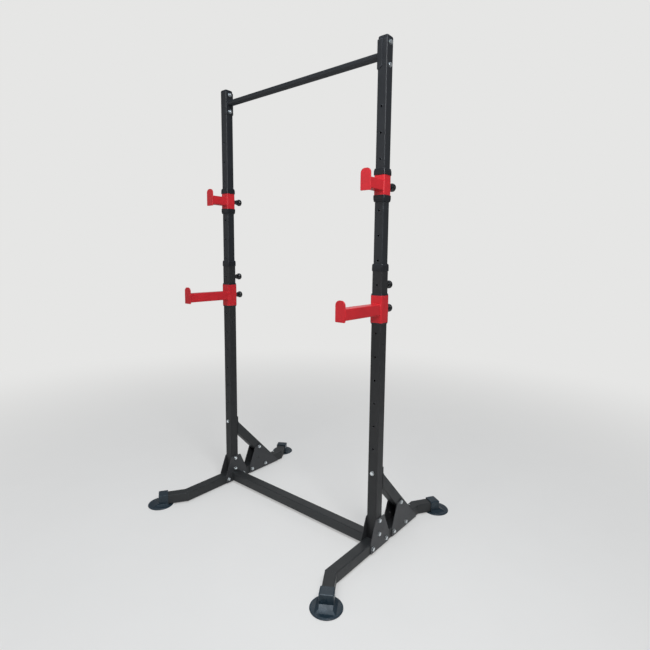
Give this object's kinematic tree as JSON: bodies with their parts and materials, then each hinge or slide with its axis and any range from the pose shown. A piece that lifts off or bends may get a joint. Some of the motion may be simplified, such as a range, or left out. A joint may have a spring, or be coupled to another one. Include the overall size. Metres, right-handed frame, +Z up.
{
  "type": "squat stand",
  "caption": "Free-standing squat stand: telescopic uprights on splayed legs, joined by a pull-up bar and a crossbar, with sliding J-cups and spotter arms.",
  "frame": {"origin": "on the floor, at the middle of the whole footprint", "axes": "+X along the pull-up bar towards the right stand, -Y the side that the J-cups face, +Z up"},
  "size_m": [1.295, 1.0584, 2.2323],
  "materials": {
    "powder_coat": "satin charcoal powder coat",
    "plate_coat": "satin charcoal powder coat on plate",
    "inner_coat": "smooth satin black powder coat",
    "red_coat": "satin red powder coat",
    "black_plastic": "moulded black plastic",
    "foot_plastic": "moulded black plastic",
    "cap_plastic": "moulded black plastic",
    "knob_plastic": "smooth black plastic",
    "zinc": "bright zinc plate"
  },
  "bodies": {
    "base_frame": {"crossbar": "powder_coat", "lower_upright_right": "powder_coat", "upright_bushing_right": "black_plastic", "base_leg_right": "powder_coat", "foot_front_right": "foot_plastic", "foot_rear_right": "foot_plastic", "gusset_outer_right": "plate_coat", "gusset_inner_right": "plate_coat", "bracket_outer_right": "plate_coat", "bracket_inner_right": "plate_coat", "rear_brace_right": "powder_coat", "bolt_gusset_upper_right": "zinc", "bolt_gusset_middle_right": "zinc", "bolt_gusset_front_right": "zinc", "bolt_gusset_rear_right": "zinc", "bolt_bracket_front_right": "zinc", "bolt_bracket_rear_right": "zinc", "bolt_bracket_brace_right": "zinc", "bolt_brace_top_right": "zinc", "lower_upright_left": "powder_coat", "upright_bushing_left": "black_plastic", "base_leg_left": "powder_coat", "foot_front_left": "foot_plastic", "foot_rear_left": "foot_plastic", "gusset_outer_left": "plate_coat", "gusset_inner_left": "plate_coat", "bracket_outer_left": "plate_coat", "bracket_inner_left": "plate_coat", "rear_brace_left": "powder_coat", "bolt_gusset_upper_left": "zinc", "bolt_gusset_middle_left": "zinc", "bolt_gusset_front_left": "zinc", "bolt_gusset_rear_left": "zinc", "bolt_bracket_front_left": "zinc", "bolt_bracket_rear_left": "zinc", "bolt_bracket_brace_left": "zinc", "bolt_brace_top_left": "zinc"},
    "upper_frame": {"pull_up_bar": "inner_coat", "upper_upright_right": "inner_coat", "top_cap_right": "cap_plastic", "bolt_channel_upper_right": "zinc", "bolt_channel_lower_right": "zinc", "upper_upright_left": "inner_coat", "top_cap_left": "cap_plastic", "bolt_channel_upper_left": "zinc", "bolt_channel_lower_left": "zinc"},
    "j_cup_right": {"j_cup_right": "red_coat", "j_cup_collar_upper_right": "black_plastic", "j_cup_collar_lower_right": "black_plastic"},
    "spotter_right": {"spotter_arm_right": "red_coat"},
    "height_lock_pin_right": {"height_lock_knob_right": "knob_plastic"},
    "j_cup_pin_right": {"j_cup_knob_right": "knob_plastic"},
    "spotter_pin_right": {"spotter_knob_right": "knob_plastic"},
    "j_cup_left": {"j_cup_left": "red_coat", "j_cup_collar_upper_left": "black_plastic", "j_cup_collar_lower_left": "black_plastic"},
    "spotter_left": {"spotter_arm_left": "red_coat"},
    "height_lock_pin_left": {"height_lock_knob_left": "knob_plastic"},
    "j_cup_pin_left": {"j_cup_knob_left": "knob_plastic"},
    "spotter_pin_left": {"spotter_knob_left": "knob_plastic"}
  },
  "joints": [
    {"name": "height_slide", "type": "slide", "parent": "base_frame", "child": "upper_frame", "axis": [0, 0, 1], "range_m": [-0.105, 0.21]},
    {"name": "j_cup_slide_right", "type": "slide", "parent": "upper_frame", "child": "j_cup_right", "axis": [0, 0, 1], "range_m": [-0.105, 0.315]},
    {"name": "spotter_slide_right", "type": "slide", "parent": "base_frame", "child": "spotter_right", "axis": [0, 0, 1], "range_m": [-0.63, 0]},
    {"name": "height_lock_pull_right", "type": "slide", "parent": "base_frame", "child": "height_lock_pin_right", "axis": [0, 1, 0], "range_m": [0, 0.012], "stiffness_N_per_m": 800},
    {"name": "j_cup_pull_right", "type": "slide", "parent": "j_cup_right", "child": "j_cup_pin_right", "axis": [0, 1, 0], "range_m": [0, 0.012], "stiffness_N_per_m": 800},
    {"name": "spotter_pull_right", "type": "slide", "parent": "spotter_right", "child": "spotter_pin_right", "axis": [0, 1, 0], "range_m": [0, 0.012], "stiffness_N_per_m": 800},
    {"name": "j_cup_slide_left", "type": "slide", "parent": "upper_frame", "child": "j_cup_left", "axis": [0, 0, 1], "range_m": [-0.105, 0.315]},
    {"name": "spotter_slide_left", "type": "slide", "parent": "base_frame", "child": "spotter_left", "axis": [0, 0, 1], "range_m": [-0.63, 0]},
    {"name": "height_lock_pull_left", "type": "slide", "parent": "base_frame", "child": "height_lock_pin_left", "axis": [0, 1, 0], "range_m": [0, 0.012], "stiffness_N_per_m": 800},
    {"name": "j_cup_pull_left", "type": "slide", "parent": "j_cup_left", "child": "j_cup_pin_left", "axis": [0, 1, 0], "range_m": [0, 0.012], "stiffness_N_per_m": 800},
    {"name": "spotter_pull_left", "type": "slide", "parent": "spotter_left", "child": "spotter_pin_left", "axis": [0, 1, 0], "range_m": [0, 0.012], "stiffness_N_per_m": 800}
  ]
}
